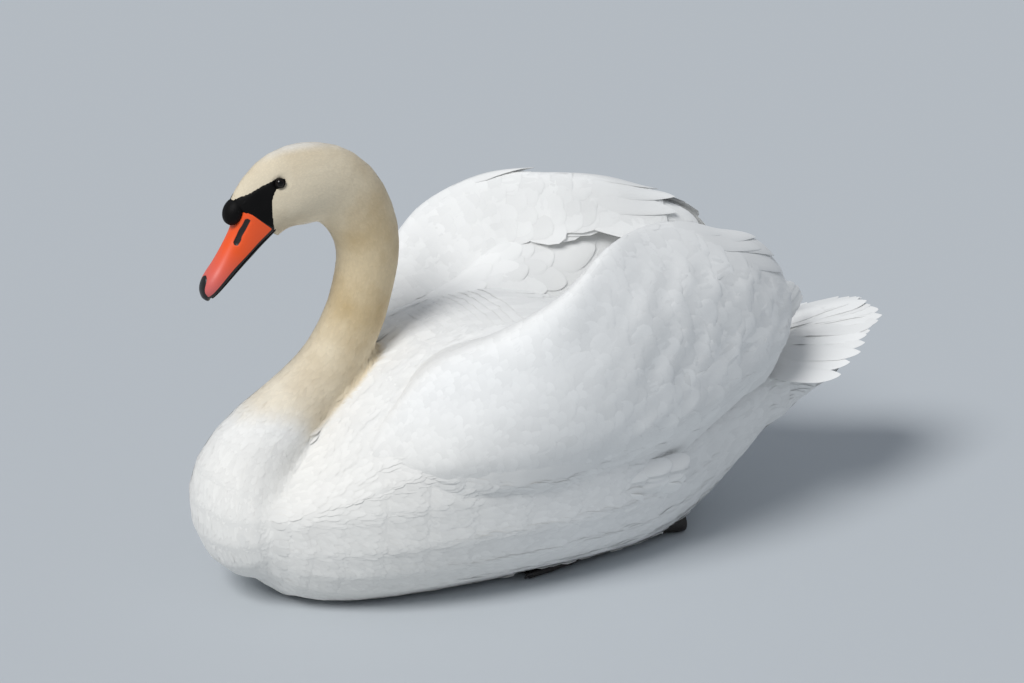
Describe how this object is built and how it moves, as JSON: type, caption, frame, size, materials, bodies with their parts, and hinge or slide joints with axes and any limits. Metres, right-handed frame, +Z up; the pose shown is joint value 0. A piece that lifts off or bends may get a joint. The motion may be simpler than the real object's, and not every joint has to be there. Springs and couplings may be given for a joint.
{
  "type": "mute swan model",
  "caption": "Still, life-size museum model of a mute swan afloat with wings arched over its back and neck bent in an S, sitting on its flattened belly with both feet tucked under.",
  "frame": {"origin": "Middle of the bounding box in X and Y, on the floor that the belly and feet rest on (Z = 0).", "axes": "+Z is up. The swan faces -Y, its tail points to +Y, its left side is +X and its right side is -X."},
  "size_m": [0.3724, 0.7877, 0.463],
  "materials": {
    "feather_cream": "matt fine plumage, stained cream",
    "feather_white": "matt to satin white plumage",
    "bill_orange": "satin horn",
    "horn_black": "satin horn",
    "eye_dark": "wet gloss",
    "foot_skin": "scaly matt skin"
  },
  "bodies": {
    "root": {"head": "feather_cream", "neck_upper": "feather_cream", "neck_middle": "feather_cream", "neck_lower": "feather_white", "trunk": "feather_white", "tail": "feather_white", "wing_left": "feather_white", "wing_right": "feather_white", "flight_feathers_left": "feather_white", "flight_feathers_right": "feather_white", "primaries_left": "feather_white", "primaries_right": "feather_white", "bill_upper": "bill_orange", "bill_lower": "horn_black", "bill_nail": "horn_black", "bill_knob": "horn_black", "eye_left": "eye_dark", "eye_right": "eye_dark", "leg_left": "foot_skin", "leg_right": "foot_skin", "foot_left": "foot_skin", "foot_right": "foot_skin"}
  },
  "joints": []
}
